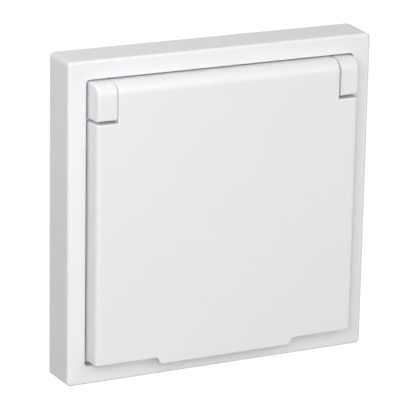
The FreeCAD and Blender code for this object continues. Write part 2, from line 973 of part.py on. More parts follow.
def pin_contact(x):
    """Slit sleeve that grips one pin of the plug, with a bar to its terminal tongue."""
    r_out = pin_r + contact_wall
    y0 = y_contact_back - contact_length
    sleeve = tube_y(r_out, pin_r, y0, y_contact_back + sheet_wall / 2, x)
    mouth = Part.makeCone(r_out - contact_mouth_rim, pin_r, contact_mouth, Vec(x, y0, 0), Y_AXIS)
    slit = box(
        x - contact_slit / 2, x + contact_slit / 2,
        y0 - past, y_contact_back - contact_slit_end, -r_out - past, r_out + past,
    )
    sleeve = sleeve.cut([mouth, slit])
    bar = sheet_strip(
        [
            (y_contact_back + sheet_wall / 2, r_out),
            (y_contact_back + sheet_wall / 2, -terminal_drop),
            (y_contact_back + tongue_length, -terminal_drop),
        ],
        x, bar_width, sheet_wall, sheet_bend_r,
    )
    bar = bar.cut(rod_y(pin_r, y0, y_base_back, x))
    return sleeve.fuse(bar).removeSplitter()


def earth_bow():
    """Strap across the base whose two arms reach forward to the plug's side contacts."""
    arm_z = well_r + well_wall + bow_arm_clearance + sheet_wall / 2
    nose_y = bow_nose_y()
    half_nose = bow_nose_length / 2
    tip_z = well_r - bow_nose_reach + sheet_wall / 2
    strap_y = y_strap + sheet_wall / 2
    upper = [
        (strap_y, 0.0),
        (strap_y, arm_z),
        (nose_y + half_nose, arm_z),
        (nose_y, tip_z),
        (nose_y - half_nose, well_r + well_wall / 2),
    ]
    lower = [(y, -z) for y, z in upper]
    arms = [
        sheet_strip(upper, 0, bow_width, sheet_wall, sheet_bend_r),
        sheet_strip(lower, 0, bow_width, sheet_wall, sheet_bend_r),
    ]
    tail = box(
        -tail_width / 2, tail_width / 2, strap_y, y_contact_back + tongue_length,
        -terminal_drop - sheet_wall / 2, -terminal_drop + sheet_wall / 2,
    )
    bow = arms[0].fuse([arms[1], tail])
    hole = rod_y(screw_r + screw_hole_clearance, y_strap - past, y_strap + sheet_wall + past)
    return bow.cut(hole).removeSplitter()


def support_ring():
    plate = box(-ring_half, ring_half, -ring_wall, 0, -ring_half, ring_half)
    plate = plate.makeChamfer(ring_corner_cut, edges_along(plate, Y_AXIS))
    opening_r = well_r + well_wall + ring_well_clearance
    arm_reach = opening_r + bow_arm_clearance + sheet_wall + ring_bow_clearance
    half_bow = bow_width / 2 + bow_slot_clearance
    cuts = [
        rod_y(opening_r, -ring_wall - past, past),
        box(-half_bow, half_bow, -ring_wall - past, past, -arm_reach, arm_reach),
    ]
    wall_hole = wall_screw_spacing / 2
    for side in (-1, 1):
        middle = side * wall_hole
        run = wall_slot_length / 2 - wall_screw_r
        cuts.append(rod_y(wall_screw_r, -ring_wall - past, past, middle - run, 0))
        cuts.append(rod_y(wall_screw_r, -ring_wall - past, past, middle + run, 0))
        cuts.append(
            box(middle - run, middle + run, -ring_wall - past, past, -wall_screw_r, wall_screw_r)
        )
        cuts.append(rod_y(wall_screw_r, -ring_wall - past, past, 0, middle))
        claw_hole_r = screw_r + screw_hole_clearance
        cuts.append(rod_y(claw_hole_r, -ring_wall - past, past, side * claw_x, side * claw_z))
    cuts += [rod_y(rivet_r, -ring_wall - past, past, x, z) for x, z in quarter_places()]
    return plate.cut(cuts)


def ring_rivets():
    made = []
    for x, z in quarter_places():
        head = rod_y(rivet_head_r, -ring_wall - rivet_head_height, -ring_wall, x, z)
        rim = edges_in_plane(head, -ring_wall - rivet_head_height, half_frame)
        head = head.makeFillet(rivet_edge_r, rim)
        made.append(head.fuse(rod_y(rivet_r, -ring_wall, rivet_length, x, z)))
    return Part.makeCompound(made)


def slotted_screw(r, head_r, head_height, y_head, y_end, x, z):
    """Pan-head screw along Y with its head's underside at y_head."""
    head = rod_y(head_r, y_head - head_height, y_head, x, z)
    y_top = y_head - head_height
    head = head.makeFillet(screw_edge_r, edges_in_plane(head, y_top, half_frame))
    half = driver_slot / 2
    slot = box(x - head_r, x + head_r, y_top, y_top + head_height / 2, z - half, z + half)
    shank = rod_y(r, y_head, y_end, x, z)
    tip = edges_in_plane(shank, y_end, half_frame)
    return head.cut(slot).fuse(shank.makeChamfer(screw_tip_chamfer, tip))


def centre_screw():
    return slotted_screw(
        screw_r, screw_head_r, screw_head_height, screw_seat(), screw_end(), 0, 0
    )


def screw_bush():
    y0 = y_strap + sheet_wall
    return tube_y(screw_r + bush_wall, screw_r, y0, y0 + bush_length)


def rail_x(y):
    return claw_x - rail_back + (rail_end - y) * claw_slope


def claw_rails(side):
    """Sloping rails on the base's side that push a claw outward as it moves forward."""
    inner = base_width / 2 - rail_weld
    points = [
        Vec(inner, rail_start, 0),
        Vec(rail_x(rail_start), rail_start, 0),
        Vec(rail_x(rail_end), rail_end, 0),
        Vec(inner, rail_end, 0),
    ]
    made = []
    for z in (claw_z - rail_gap - rail_wall, claw_z + rail_gap):
        rail = prism(points, Vec(0, 0, rail_wall))
        rail.translate(Vec(0, 0, z))
        made.append(one_side(rail, side))
    return made


def claw(side):
    """Folded claw: a fork behind the screw's side, an arm on the rails and teeth."""
    gap = claw_gap * math.hypot(1, claw_slope)
    wall = claw_wall * math.hypot(1, claw_slope)
    y_arm = claw_foot - claw_wall
    y_tip = claw_foot - claw_length
    foot_out = claw_x + nut_size / 2 + claw_fork_rim
    points = [
        Vec(rail_x(claw_foot) + gap, claw_foot, 0),
        Vec(foot_out, claw_foot, 0),
        Vec(foot_out, y_arm, 0),
        Vec(rail_x(y_arm) + gap + wall, y_arm, 0),
        Vec(rail_x(y_tip) + gap + wall, y_tip, 0),
        Vec(rail_x(y_tip) + gap, y_tip, 0),
    ]
    z_low = claw_z - claw_half_width
    body = prism(points, Vec(0, 0, 2 * claw_half_width))
    tip_x = rail_x(y_tip) + gap + wall
    body = body.fuse(claw_teeth(tip_x, y_tip))
    body.translate(Vec(0, 0, z_low))
    fork_in = claw_x - nut_size / 2 - claw_fork_clearance
    half_fork = rail_gap - claw_fork_side_gap
    fork = box(fork_in, foot_out, y_arm, claw_foot, claw_z - half_fork, claw_z + half_fork)
    body = body.fuse(fork)
    way = box(
        fork_in - past, claw_x + claw_fork, y_arm - claw_way, claw_foot + past,
        claw_z - claw_fork, claw_z + claw_fork,
    )
    return one_side(body.cut(way).removeSplitter(), side)


def claw_teeth(x, y):
    """Row of teeth along the claw's outer edge."""
    pitch = 2 * claw_half_width / claw_tooth_count
    made = []
    for index in range(claw_tooth_count):
        z = index * pitch
        points = [
            Vec(x - claw_tooth_root, y, z),
            Vec(x + claw_tooth, y, z + pitch / 2),
            Vec(x - claw_tooth_root, y, z + pitch),
        ]
        made.append(prism(points, Vec(0, claw_wall, 0)))
    return made


def claw_nut(side):
    half = nut_size / 2
    block = box(
        claw_x - half, claw_x + half, claw_foot + nut_gap, claw_foot + nut_wall,
        claw_z - half, claw_z + half,
    )
    bore_r = screw_r + thread_clearance
    bore = rod_y(bore_r, claw_foot - past, claw_foot + nut_wall + past, claw_x, claw_z)
    return one_side(block.cut(bore), side)


def claw_screw(side):
    screw = slotted_screw(
        screw_r, claw_head_r, claw_head_height, -ring_wall - claw_head_gap,
        claw_screw_length, claw_x, claw_z,
    )
    return one_side(screw, side)


def save(name, shape):
    shape.exportStep("parts/" + name + ".step")


def main():
    os.makedirs("parts", exist_ok=True)
    parts = {
        "cover_frame": cover_frame(),
        "wall_gasket": wall_gasket(),
        "plate_seal": plate_seal(),
        "lid": lid(),
        "lid_seal": lid_seal(),
        "hinge_pin": hinge_pin(),
        "lid_spring": lid_spring(),
        "centre_plate": centre_plate(),
        "support_ring": support_ring(),
        "ring_rivets": ring_rivets(),
        "socket_base": socket_base(),
        "base_rear_cover": base_rear_cover(),
        "earth_bow": earth_bow(),
        "screw_bush": screw_bush(),
        "centre_screw": centre_screw(),
    }
    for name, x in zip(("left", "middle", "right"), pole_places):
        parts["clamp_spring_" + name] = clamp_spring(x)
        parts["release_lever_" + name] = release_lever(x)
    for name, side in all_places:
        parts["contact_" + name] = pin_contact(side * pin_x)
        parts["claw_" + name] = claw(side)
        parts["claw_nut_" + name] = claw_nut(side)
        parts["claw_screw_" + name] = claw_screw(side)
    for name, shape in parts.items():
        save(name, shape)
        size = shape.BoundBox
        print(name, len(shape.Solids), shape.isValid(), round(shape.Volume, 1), size)


main()
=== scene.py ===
import math

import bmesh
import bpy
from bpy.props import FloatProperty, FloatVectorProperty, IntProperty, PointerProperty
from bpy.types import Operator, Panel, PropertyGroup
from mathutils import Matrix, Vector


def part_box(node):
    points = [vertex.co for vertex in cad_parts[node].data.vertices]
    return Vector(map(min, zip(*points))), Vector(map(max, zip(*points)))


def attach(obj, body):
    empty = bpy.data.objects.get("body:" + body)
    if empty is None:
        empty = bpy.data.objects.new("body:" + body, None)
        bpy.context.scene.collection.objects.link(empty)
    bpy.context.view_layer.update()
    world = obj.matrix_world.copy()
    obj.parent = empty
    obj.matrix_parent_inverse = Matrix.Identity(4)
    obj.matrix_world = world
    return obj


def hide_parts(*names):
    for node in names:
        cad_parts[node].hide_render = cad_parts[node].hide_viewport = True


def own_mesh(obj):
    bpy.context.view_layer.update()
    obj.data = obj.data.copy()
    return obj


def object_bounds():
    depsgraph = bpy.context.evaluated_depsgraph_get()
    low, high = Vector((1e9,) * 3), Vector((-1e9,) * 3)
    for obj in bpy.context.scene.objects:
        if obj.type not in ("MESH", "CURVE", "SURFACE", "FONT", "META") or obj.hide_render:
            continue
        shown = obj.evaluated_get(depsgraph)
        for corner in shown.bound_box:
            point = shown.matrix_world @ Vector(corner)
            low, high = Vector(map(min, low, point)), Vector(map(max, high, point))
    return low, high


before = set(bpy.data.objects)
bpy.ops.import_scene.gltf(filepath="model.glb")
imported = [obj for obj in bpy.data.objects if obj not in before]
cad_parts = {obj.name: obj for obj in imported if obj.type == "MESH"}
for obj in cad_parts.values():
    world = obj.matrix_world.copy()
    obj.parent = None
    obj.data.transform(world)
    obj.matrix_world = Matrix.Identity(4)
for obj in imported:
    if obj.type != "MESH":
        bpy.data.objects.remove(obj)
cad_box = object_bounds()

bl_info = {
    "name": "Weatherproof flush socket",
    "version": (1, 0, 0),
    "blender": (4, 5, 0),
    "location": "3D View > Sidebar > Socket",
    "description": "Dresses the socket's mouldings, seals and metal parts and sets its stage",
    "category": "Object",
}

PHOTO_WIDTH_PX = 416
SENSOR_MM = 36.0
CLIP_START = 0.01

# Pieces that share a finish
SEALS = ("wall_gasket", "plate_seal", "lid_seal")
SHEET_PARTS = ("support_ring", "claw_left", "claw_right")
TURNED_STEEL = ("hinge_pin", "ring_rivets", "claw_nut_left", "claw_nut_right")
BRASS_PARTS = ("earth_bow", "contact_left", "contact_right", "screw_bush")
POLES = ("left", "middle", "right")
LEVERS = tuple("release_lever_" + pole for pole in POLES)

# Each screw and the body that it rides
SCREWS = (
    ("centre_screw", "housing"),
    ("claw_screw_left", "claw_screw_left"),
    ("claw_screw_right", "claw_screw_right"),
)

# Screw head: facets round it and along its rounded edge, and that edge as a share of its height
HEAD_STEPS = 48
HEAD_EDGE_STEPS = 5
HEAD_EDGE_SHARE = 0.3

# Thread: rings of vertices in a turn, share of a flank's run that the flats of crest and root
# take at each end, and length and depth of the run-out at the tip as shares of the thread's depth
THREAD_RINGS = 6
CREST_SHARE = 0.1
RUN_OUT_LENGTH = 1.2
RUN_OUT_DEPTH = 0.9

# Cross drive: reach as a share of the head's radius, share of its width that is left at its
# floor, and how far the cutter stands out over the head
DRIVE_REACH = 0.62
DRIVE_TAPER = 0.7
CUT_MARGIN = 0.0004

# Angle between faces, in degrees, from which a screw's edge stays sharp
SHARP_ANGLE = 32

FLOOR_HALF = 8.0
FLOOR_COLOUR = (0.86, 0.86, 0.86, 1.0)
BACKDROP_WHITE = (1.0, 1.0, 1.0, 1.0)

# Name, azimuth from straight ahead and elevation in degrees, distance, and setting of the power
LAMPS = (
    ("near_lamp", -30, 20, 0.5, "near_power"),
    ("front_lamp", -10, 5, 0.5, "front_power"),
    ("side_lamp", -80, 30, 0.5, "side_power"),
    ("high_lamp", -90, 60, 0.4, "high_power"),
    ("right_lamp", 20, 30, 1.0, "right_power"),
)
LAMP_SIZE_SHARE = 0.6


class SocketFinishSettings(PropertyGroup):
    """Colours and surface of the mouldings, seals and metal parts."""

    white: FloatVectorProperty(
        name="White",
        description="Colour of the lid and the centre plate",
        subtype="COLOR", size=4, min=0.0, max=1.0, default=(0.83, 0.83, 0.845, 1.0),
    )
    # Painted light: the frame is the same white plastic as the lid, and its paler white stands in
    # for the brighter light that falls on the frame's border
    frame_white_painted_lighter: FloatVectorProperty(
        name="Frame white painted lighter",
        description="Colour of the frame, a little paler than the lid",
        subtype="COLOR", size=4, min=0.0, max=1.0, default=(0.84, 0.84, 0.853, 1.0),
    )
    white_roughness: FloatProperty(
        name="White roughness",
        description="How far the white mouldings' gloss is spread",
        subtype="FACTOR", min=0.0, max=1.0, default=0.32,
    )
    texture_depth: FloatProperty(
        name="Mould texture",
        description="Height of the fine texture that the mould leaves",
        subtype="DISTANCE", unit="LENGTH", min=0.0, max=0.0005, precision=6, default=0.000006,
    )
    rubber: FloatVectorProperty(
        name="Rubber",
        description="Colour of the seals and gaskets",
        subtype="COLOR", size=4, min=0.0, max=1.0, default=(0.16, 0.165, 0.17, 1.0),
    )
    base: FloatVectorProperty(
        name="Socket base",
        description="Colour of the moulded base behind the wall plane",
        subtype="COLOR", size=4, min=0.0, max=1.0, default=(0.6, 0.61, 0.62, 1.0),
    )
    base_cover: FloatVectorProperty(
        name="Rear cover",
        description="Colour of the cover over the terminals",
        subtype="COLOR", size=4, min=0.0, max=1.0, default=(0.055, 0.06, 0.066, 1.0),
    )
    lever: FloatVectorProperty(
        name="Levers",
        description="Colour of the release levers",
        subtype="COLOR", size=4, min=0.0, max=1.0, default=(0.72, 0.2, 0.03, 1.0),
    )
    zinc_sheet: FloatVectorProperty(
        name="Zinc-plated sheet",
        description="Colour of the support ring and the claws",
        subtype="COLOR", size=4, min=0.0, max=1.0, default=(0.62, 0.63, 0.62, 1.0),
    )
    spring_steel: FloatVectorProperty(
        name="Spring steel",
        description="Colour of the lid's spring and the clamp springs",
        subtype="COLOR", size=4, min=0.0, max=1.0, default=(0.5, 0.51, 0.53, 1.0),
    )
    turned_steel: FloatVectorProperty(
        name="Turned steel",
        description="Colour of the axle, the rivets and the nuts",
        subtype="COLOR", size=4, min=0.0, max=1.0, default=(0.66, 0.67, 0.68, 1.0),
    )
    brass: FloatVectorProperty(
        name="Brass",
        description="Colour of the contacts, the earth bow and the bush",
        subtype="COLOR", size=4, min=0.0, max=1.0, default=(0.78, 0.57, 0.25, 1.0),
    )
    screw_steel: FloatVectorProperty(
        name="Screw steel",
        description="Colour of the plated screws",
        subtype="COLOR", size=4, min=0.0, max=1.0, default=(0.68, 0.67, 0.6, 1.0),
    )


class SocketScrewSettings(PropertyGroup):
    """Head, thread and drive of the screws."""

    head_height: FloatProperty(
        name="Head height",
        description="Height of the pan head",
        subtype="DISTANCE", unit="LENGTH", min=0.0005, max=0.005, precision=5, default=0.0018,
    )
    shank_radius: FloatProperty(
        name="Shank radius",
        description="Radius over the thread's crest, just inside the solid screw",
        subtype="DISTANCE", unit="LENGTH", min=0.0005, max=0.003, precision=5, default=0.00149,
    )
    thread_pitch: FloatProperty(
        name="Thread pitch",
        description="Distance from one turn of the thread to the next",
        subtype="DISTANCE", unit="LENGTH", min=0.0002, max=0.002, precision=5, default=0.0005,
    )
    thread_depth: FloatProperty(
        name="Thread depth",
        description="Height of the thread over its root",
        subtype="DISTANCE", unit="LENGTH", min=0.0001, max=0.001, precision=5, default=0.00031,
    )
    thread_steps: IntProperty(
        name="Steps in a turn",
        description="Facets round the screw",
        min=8, max=96, default=28,
    )
    drive_width: FloatProperty(
        name="Drive slot",
        description="Width of the slots of the cross drive",
        subtype="DISTANCE", unit="LENGTH", min=0.0002, max=0.002, precision=5, default=0.0008,
    )
    drive_depth: FloatProperty(
        name="Drive depth",
        description="Depth of the cross drive in the head",
        subtype="DISTANCE", unit="LENGTH", min=0.0002, max=0.002, precision=5, default=0.0011,
    )


class SocketStageSettings(PropertyGroup):
    """Camera, floor and lights."""

    camera_place: FloatVectorProperty(
        name="Camera place",
        description="Where the camera stands",
        subtype="TRANSLATION", unit="LENGTH", size=3, default=(-0.2901, -0.5869, 0.1982),
    )
    yaw: FloatProperty(
        name="Yaw",
        description="Turn of the view from straight into the wall towards the right",
        subtype="ANGLE", unit="ROTATION", default=math.radians(26.45),
    )
    pitch: FloatProperty(
        name="Pitch",
        description="How far the camera looks down",
        subtype="ANGLE", unit="ROTATION", default=math.radians(17.06),
    )
    roll: FloatProperty(
        name="Roll",
        description="Turn of the picture about the line of sight",
        subtype="ANGLE", unit="ROTATION", default=math.radians(-1.09),
    )
    focal_px: FloatProperty(
        name="Focal length",
        description="Focal length of the photograph, in its own pixels",
        subtype="PIXEL", min=100.0, default=2779.8,
    )
    floor_drop: FloatProperty(
        name="Floor drop",
        description="How far the floor lies under the socket",
        subtype="DISTANCE", unit="LENGTH", min=0.0, default=0.45,
    )
    near_power: FloatProperty(
        name="Near light",
        description="Power of the lamp near the lid, at its left",
        subtype="POWER", unit="POWER", min=0.0, default=1.118,
    )
    front_power: FloatProperty(
        name="Front light",
        description="Power of the lamp before the lid",
        subtype="POWER", unit="POWER", min=0.0, default=0.441,
    )
    side_power: FloatProperty(
        name="Side light",
        description="Power of the lamp that lights the left side of the frame",
        subtype="POWER", unit="POWER", min=0.0, default=0.322,
    )
    high_power: FloatProperty(
        name="High light",
        description="Power of the lamp high over the left side",
        subtype="POWER", unit="POWER", min=0.0, default=0.372,
    )
    right_power: FloatProperty(
        name="Right light",
        description="Power of the far lamp at the right",
        subtype="POWER", unit="POWER", min=0.0, default=2.72,
    )
    room_level: FloatProperty(
        name="Room level",
        description="Brightness of the light from all round",
        subtype="FACTOR", min=0.0, max=2.0, default=0.18,
    )
    floor_glow: FloatProperty(
        name="Floor glow",
        description="What the camera sees added to the lit floor, so that it reads as white",
        subtype="FACTOR", min=0.0, max=1.0, default=0.9,
    )


def new_group(name, inputs, outputs):
    """A shader node group, with the values it is given and the sockets it has to feed."""
    group = bpy.data.node_groups.new(name, "ShaderNodeTree")
    for label, kind, value in inputs:
        socket = group.interface.new_socket(label, in_out="INPUT", socket_type=kind)
        socket.default_value = value
    for label, kind in outputs:
        group.interface.new_socket(label, in_out="OUTPUT", socket_type=kind)
    given = group.nodes.new("NodeGroupInput").outputs
    wanted = group.nodes.new("NodeGroupOutput").inputs
    return group, given, wanted


def feed(tree, socket, value):
    """Sets a socket to a number, or links it to another node's output."""
    if isinstance(value, float):
        socket.default_value = value
    else:
        tree.links.new(value, socket)


def noise(tree, vector, scale, detail=2.0, roughness=0.5):
    """Noise from 0 to 1 at a place."""
    node = tree.nodes.new("ShaderNodeTexNoise")
    node.inputs["Detail"].default_value = detail
    node.inputs["Roughness"].default_value = roughness
    tree.links.new(vector, node.inputs["Vector"])
    feed(tree, node.inputs["Scale"], scale)
    return node.outputs["Fac"]


def spread(tree, value, low, high):
    """Maps a value from 0 to 1 onto the range from low to high."""
    node = tree.nodes.new("ShaderNodeMapRange")
    tree.links.new(value, node.inputs["Value"])
    feed(tree, node.inputs["To Min"], low)
    feed(tree, node.inputs["To Max"], high)
    return node.outputs["Result"]


def math_node(tree, operation, *values):
    """Result of one Math node on numbers or other nodes' outputs."""
    node = tree.nodes.new("ShaderNodeMath")
    node.operation = operation
    for socket, value in zip(node.inputs, values):
        feed(tree, socket, value)
    return node.outputs["Value"]


def tinted(tree, factor, first, second):
    """Blend from the first colour to the second."""
    node = tree.nodes.new("ShaderNodeMix")
    node.data_type = "RGBA"
    tree.links.new(factor, node.inputs["Factor"])
    tree.links.new(first, node.inputs["A"])
    tree.links.new(second, node.inputs["B"])
    return node.outputs["Result"]


def scaled_colour(tree, colour, factor):
    """A colour times one number."""
    node = tree.nodes.new("ShaderNodeMix")
    node.data_type = "RGBA"
    node.blend_type = "MULTIPLY"
    node.inputs["Factor"].default_value = 1.0
    node.inputs["B"].default_value = (factor, factor, factor, 1.0)
    tree.links.new(colour, node.inputs["A"])
    return node.outputs["Result"]


def moulded_surface_group():
    """Fine mould texture, flow marks and a faint cloud in the colour."""
    tree, given, wanted = new_group(
        "Moulded surface",
        [
            ("Colour", "NodeSocketColor", (0.8, 0.8, 0.8, 1.0)),
            ("Roughness", "NodeSocketFloat", 0.4),
            ("Roughness spread", "NodeSocketFloat", 0.06),
            ("Texture scale", "NodeSocketFloat", 4000.0),
        ],
        [
            ("Colour", "NodeSocketColor"),
            ("Roughness", "NodeSocketFloat"),
            ("Height", "NodeSocketFloat"),
        ],
    )
    colour, roughness = given["Colour"], given["Roughness"]
    place = tree.nodes.new("ShaderNodeTexCoord").outputs["Object"]
    cloud = noise(tree, place, scale=38.0, detail=3.0)
    grain = noise(tree, place, scale=given["Texture scale"], roughness=0.6)
    flow_marks = noise(tree, place, scale=160.0, detail=1.0)
    darker = scaled_colour(tree, colour, factor=0.975)
    low = math_node(tree, "SUBTRACT", roughness, given["Roughness spread"])
    high = math_node(tree, "ADD", roughness, given["Roughness spread"])
    grain_share = 0.6
    height = math_node(tree, "MULTIPLY_ADD", grain, grain_share, flow_marks)
    tree.links.new(tinted(tree, cloud, darker, colour), wanted["Colour"])
    tree.links.new(spread(tree, cloud, low, high), wanted["Roughness"])
    tree.links.new(height, wanted["Height"])
    return tree


def worked_metal_group():
    """Rolling or drawing lines along one direction, with dull patches."""
    tree, given, wanted = new_group(
        "Worked metal",
        [
            ("Colour", "NodeSocketColor", (0.6, 0.6, 0.6, 1.0)),
            ("Roughness", "NodeSocketFloat", 0.3),
            ("Line scale", "NodeSocketVector", (200.0, 4000.0, 4000.0)),
            ("Tarnish", "NodeSocketFloat", 0.12),
        ],
        [
            ("Colour", "NodeSocketColor"),
            ("Roughness", "NodeSocketFloat"),
            ("Height", "NodeSocketFloat"),
        ],
    )
    colour = given["Colour"]
    place = tree.nodes.new("ShaderNodeTexCoord").outputs["Object"]
    stretch = tree.nodes.new("ShaderNodeVectorMath")
    stretch.operation = "MULTIPLY"
    tree.links.new(place, stretch.inputs[0])
    tree.links.new(given["Line scale"], stretch.inputs[1])
    lines = noise(tree, stretch.outputs["Vector"], scale=1.0, detail=3.0, roughness=0.6)
    patches = noise(tree, place, scale=220.0, detail=4.0, roughness=0.6)
    dull = math_node(tree, "MULTIPLY", patches, given["Tarnish"])
    darker = scaled_colour(tree, colour, factor=0.45)
    line_share = 0.18
    lined = math_node(tree, "MULTIPLY_ADD", lines, line_share, given["Roughness"])
    tree.links.new(tinted(tree, dull, colour, darker), wanted["Colour"])
    tree.links.new(math_node(tree, "ADD", lined, dull), wanted["Roughness"])
    tree.links.new(lines, wanted["Height"])
    return tree


def finished_material(name, group, values, bump, metallic=0.0, specular=0.5):
    """A material whose colour, roughness and bump come from a shared group."""
    material = bpy.data.materials.new(name)
    material.use_nodes = True
    tree = material.node_tree
    shader = tree.nodes["Principled BSDF"]
    surface = tree.nodes.new("ShaderNodeGroup")
    surface.node_tree = group
    for label, value in values.items():
        surface.inputs[label].default_value = value
    shader.inputs["Metallic"].default_value = metallic
    shader.inputs["Specular IOR Level"].default_value = specular
    tree.links.new(surface.outputs["Colour"], shader.inputs["Base Color"])
    tree.links.new(surface.outputs["Roughness"], shader.inputs["Roughness"])
    relief = tree.nodes.new("ShaderNodeBump")
    relief.inputs["Strength"].default_value = 1.0
    relief.inputs["Distance"].default_value = bump
    tree.links.new(surface.outputs["Height"], relief.inputs["Height"])
    tree.links.new(relief.outputs["Normal"], shader.inputs["Normal"])
    return material


def shared_group(name, make):
    """The node group of this name, made when it is first asked for."""
    return bpy.data.node_groups.get(name) or make()


def moulded(name, colour, roughness, roughness_spread, texture_scale, bump, specular=0.5):
    """Moulded plastic or rubber."""
    return finished_material(
        name,
        shared_group("Moulded surface", moulded_surface_group),
        {
            "Colour": tuple(colour),
            "Roughness": roughness,
            "Roughness spread": roughness_spread,
            "Texture scale": texture_scale,
        },
        bump,
        specular=specular,
    )


def worked_metal(name, colour, roughness, line_scale, tarnish, bump):
    """Rolled, drawn or turned metal; its lines run along the axis of the smallest line scale."""
    return finished_material(
        name,
        shared_group("Worked metal", worked_metal_group),
        {
            "Colour": tuple(colour),
            "Roughness": roughness,
            "Line scale": line_scale,
            "Tarnish": tarnish,
        },
        bump,
        metallic=1.0,
    )


def dress(names, material):
    """Puts a material on CAD nodes."""
    for name in names:
        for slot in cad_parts[name].material_slots:
            slot.material = material


def mesh_piece(name, mesh, body, material, node):
    """A piece of the scene's own that rides a body in the place of a CAD node."""
    piece = bpy.data.objects.new(name, mesh)
    bpy.context.scene.collection.objects.link(piece)
    piece.data.materials.append(material)
    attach(piece, body)
    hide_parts(node)
    return piece


def ring_place(centre, radius, turn, y):
    """Point on a circle about a line along Y, at a share of a full turn."""
    angle = 2 * math.pi * turn
    return centre.x + radius * math.cos(angle), y, centre.z + radius * math.sin(angle)


def lathe(mesh, profile, centre, steps):
    """Turns a profile of (radius, y) about a line along Y through the centre."""
    rings = []
    for radius, y in profile:
        if radius == 0.0:
            rings.append([mesh.verts.new((centre.x, y, centre.z))])
            continue
        rings.append([
            mesh.verts.new(ring_place(centre, radius, index / steps, y))
            for index in range(steps)
        ])
    for near, far in zip(rings, rings[1:]):
        for index in range(steps):
            after = (index + 1) % steps
            corners = [
                near[index % len(near)], near[after % len(near)],
                far[after % len(far)], far[index % len(far)],
            ]
            distinct = list(dict.fromkeys(corners))
            if len(distinct) > 2:
                mesh.faces.new(distinct)


def thread_radius(settings, phase):
    """Radius of a V thread at this share of its pitch, with a flat crest and root."""
    rise = abs(2 * (phase % 1.0) - 1)
    depth = min(1.0, max(0.0, (rise - CREST_SHARE) / (1 - 2 * CREST_SHARE)))
    return settings.shank_radius - settings.thread_depth * depth


def threaded_shank(mesh, settings, centre, y0, y1):
    """Helical thread whose end runs out into a cone."""
    steps = settings.thread_steps
    count = int((y1 - y0) * THREAD_RINGS / settings.thread_pitch)
    rings = []
    for level in range(count + 1):
        y = y0 + (y1 - y0) * level / count
        run_out = (y1 - y) / (RUN_OUT_LENGTH * settings.thread_depth)
        cone = settings.thread_depth * (2 - run_out) * RUN_OUT_DEPTH if run_out < 1 else 0.0
        ring = []
        for index in range(steps):
            turn = index / steps
            radius = min(
                thread_radius(settings, y / settings.thread_pitch - turn),
                settings.shank_radius - cone,
            )
            ring.append(mesh.verts.new(ring_place(centre, radius, turn, y)))
        rings.append(ring)
    for near, far in zip(rings, rings[1:]):
        for index in range(steps):
            after = (index + 1) % steps
            mesh.faces.new((near[index], near[after], far[after], far[index]))
    mesh.faces.new(rings[-1])


def drive_cutter(settings, centre, y_top, head_r):
    """Cross-shaped prism that cuts the drive into a head."""
    mesh = bmesh.new()
    half = settings.drive_width / 2
    reach = head_r * DRIVE_REACH
    for reach_x, reach_z in ((reach, half), (half, reach)):
        made = bmesh.ops.create_cube(mesh, size=1.0)
        for vert in made["verts"]:
            deep = vert.co.y > 0
            taper = DRIVE_TAPER if deep else 1.0
            vert.co = Vector((
                centre.x + vert.co.x * 2 * reach_x * taper,
                y_top + (settings.drive_depth if deep else -CUT_MARGIN),
                centre.z + vert.co.z * 2 * reach_z * taper,
            ))
    data = bpy.data.meshes.new("drive_cutter")
    mesh.to_mesh(data)
    mesh.free()
    cutter = bpy.data.objects.new("drive_cutter", data)
    bpy.context.scene.collection.objects.link(cutter)
    return cutter


def smooth_by_angle(mesh, degrees):
    """Shades a mesh smooth, but for edges sharper than this angle."""
    for polygon in mesh.polygons:
        polygon.use_smooth = True
    mesh.set_sharp_from_angle(angle=math.radians(degrees))


def screw_mesh(settings, name, centre, y_top, y_end, head_r):
    """Pan-head screw with a real thread, in the place of a CAD screw."""
    y_under = y_top + settings.head_height
    edge = settings.head_height * HEAD_EDGE_SHARE
    profile = [(0.0, y_top)]
    for index in range(HEAD_EDGE_STEPS + 1):
        angle = math.pi / 2 * index / HEAD_EDGE_STEPS
        profile.append((
            head_r - edge + edge * math.sin(angle), y_top + edge - edge * math.cos(angle)
        ))
    profile += [(head_r, y_under), (settings.shank_radius, y_under)]
    mesh = bmesh.new()
    lathe(mesh, profile, centre, HEAD_STEPS)
    threaded_shank(mesh, settings, centre, y_under, y_end)
    bmesh.ops.recalc_face_normals(mesh, faces=mesh.faces)
    data = bpy.data.meshes.new(name + "_threaded")
    mesh.to_mesh(data)
    mesh.free()
    return data


def cut_away(piece, cutter):
    """Cuts one object out of another and keeps the result as plain mesh."""
    step = piece.modifiers.new("drive", "BOOLEAN")
    step.operation = "DIFFERENCE"
    step.solver = "EXACT"
    step.object = cutter
    bpy.context.view_layer.update()
    graph = bpy.context.evaluated_depsgraph_get()
    data = bpy.data.meshes.new_from_object(piece.evaluated_get(graph))
    piece.modifiers.clear()
    piece.data = data
    bpy.data.objects.remove(cutter)


class SOCKET_OT_dress_mouldings(Operator):
    """Gives the frame, the lid and the centre plate their white moulded finish; the frame's white
    is painted paler, as painted light
    """

    bl_idname = "socket.dress_mouldings"
    bl_label = "Dress the white mouldings"

    def execute(self, context):
        finish = context.scene.socket_finish
        for name, colour in (
            # the frame's paler white is painted light, not a different plastic
            ("cover_frame", finish.frame_white_painted_lighter),
            ("lid", finish.white),
            ("centre_plate", finish.white),
        ):
            white = moulded(
                "White moulding " + name.replace("_", " "), colour,
                roughness=finish.white_roughness, roughness_spread=0.04,
                texture_scale=5200.0, bump=finish.texture_depth, specular=0.25,
            )
            dress((name,), white)
        return {"FINISHED"}


class SOCKET_OT_dress_seals(Operator):
    """Gives the gasket and the seals their matte rubber finish"""

    bl_idname = "socket.dress_seals"
    bl_label = "Dress the seals"

    def execute(self, context):
        rubber = moulded(
            "Grey sealing rubber", context.scene.socket_finish.rubber,
            roughness=0.72, roughness_spread=0.1, texture_scale=2600.0, bump=0.00002,
            specular=0.3,
        )
        dress(SEALS, rubber)
        return {"FINISHED"}


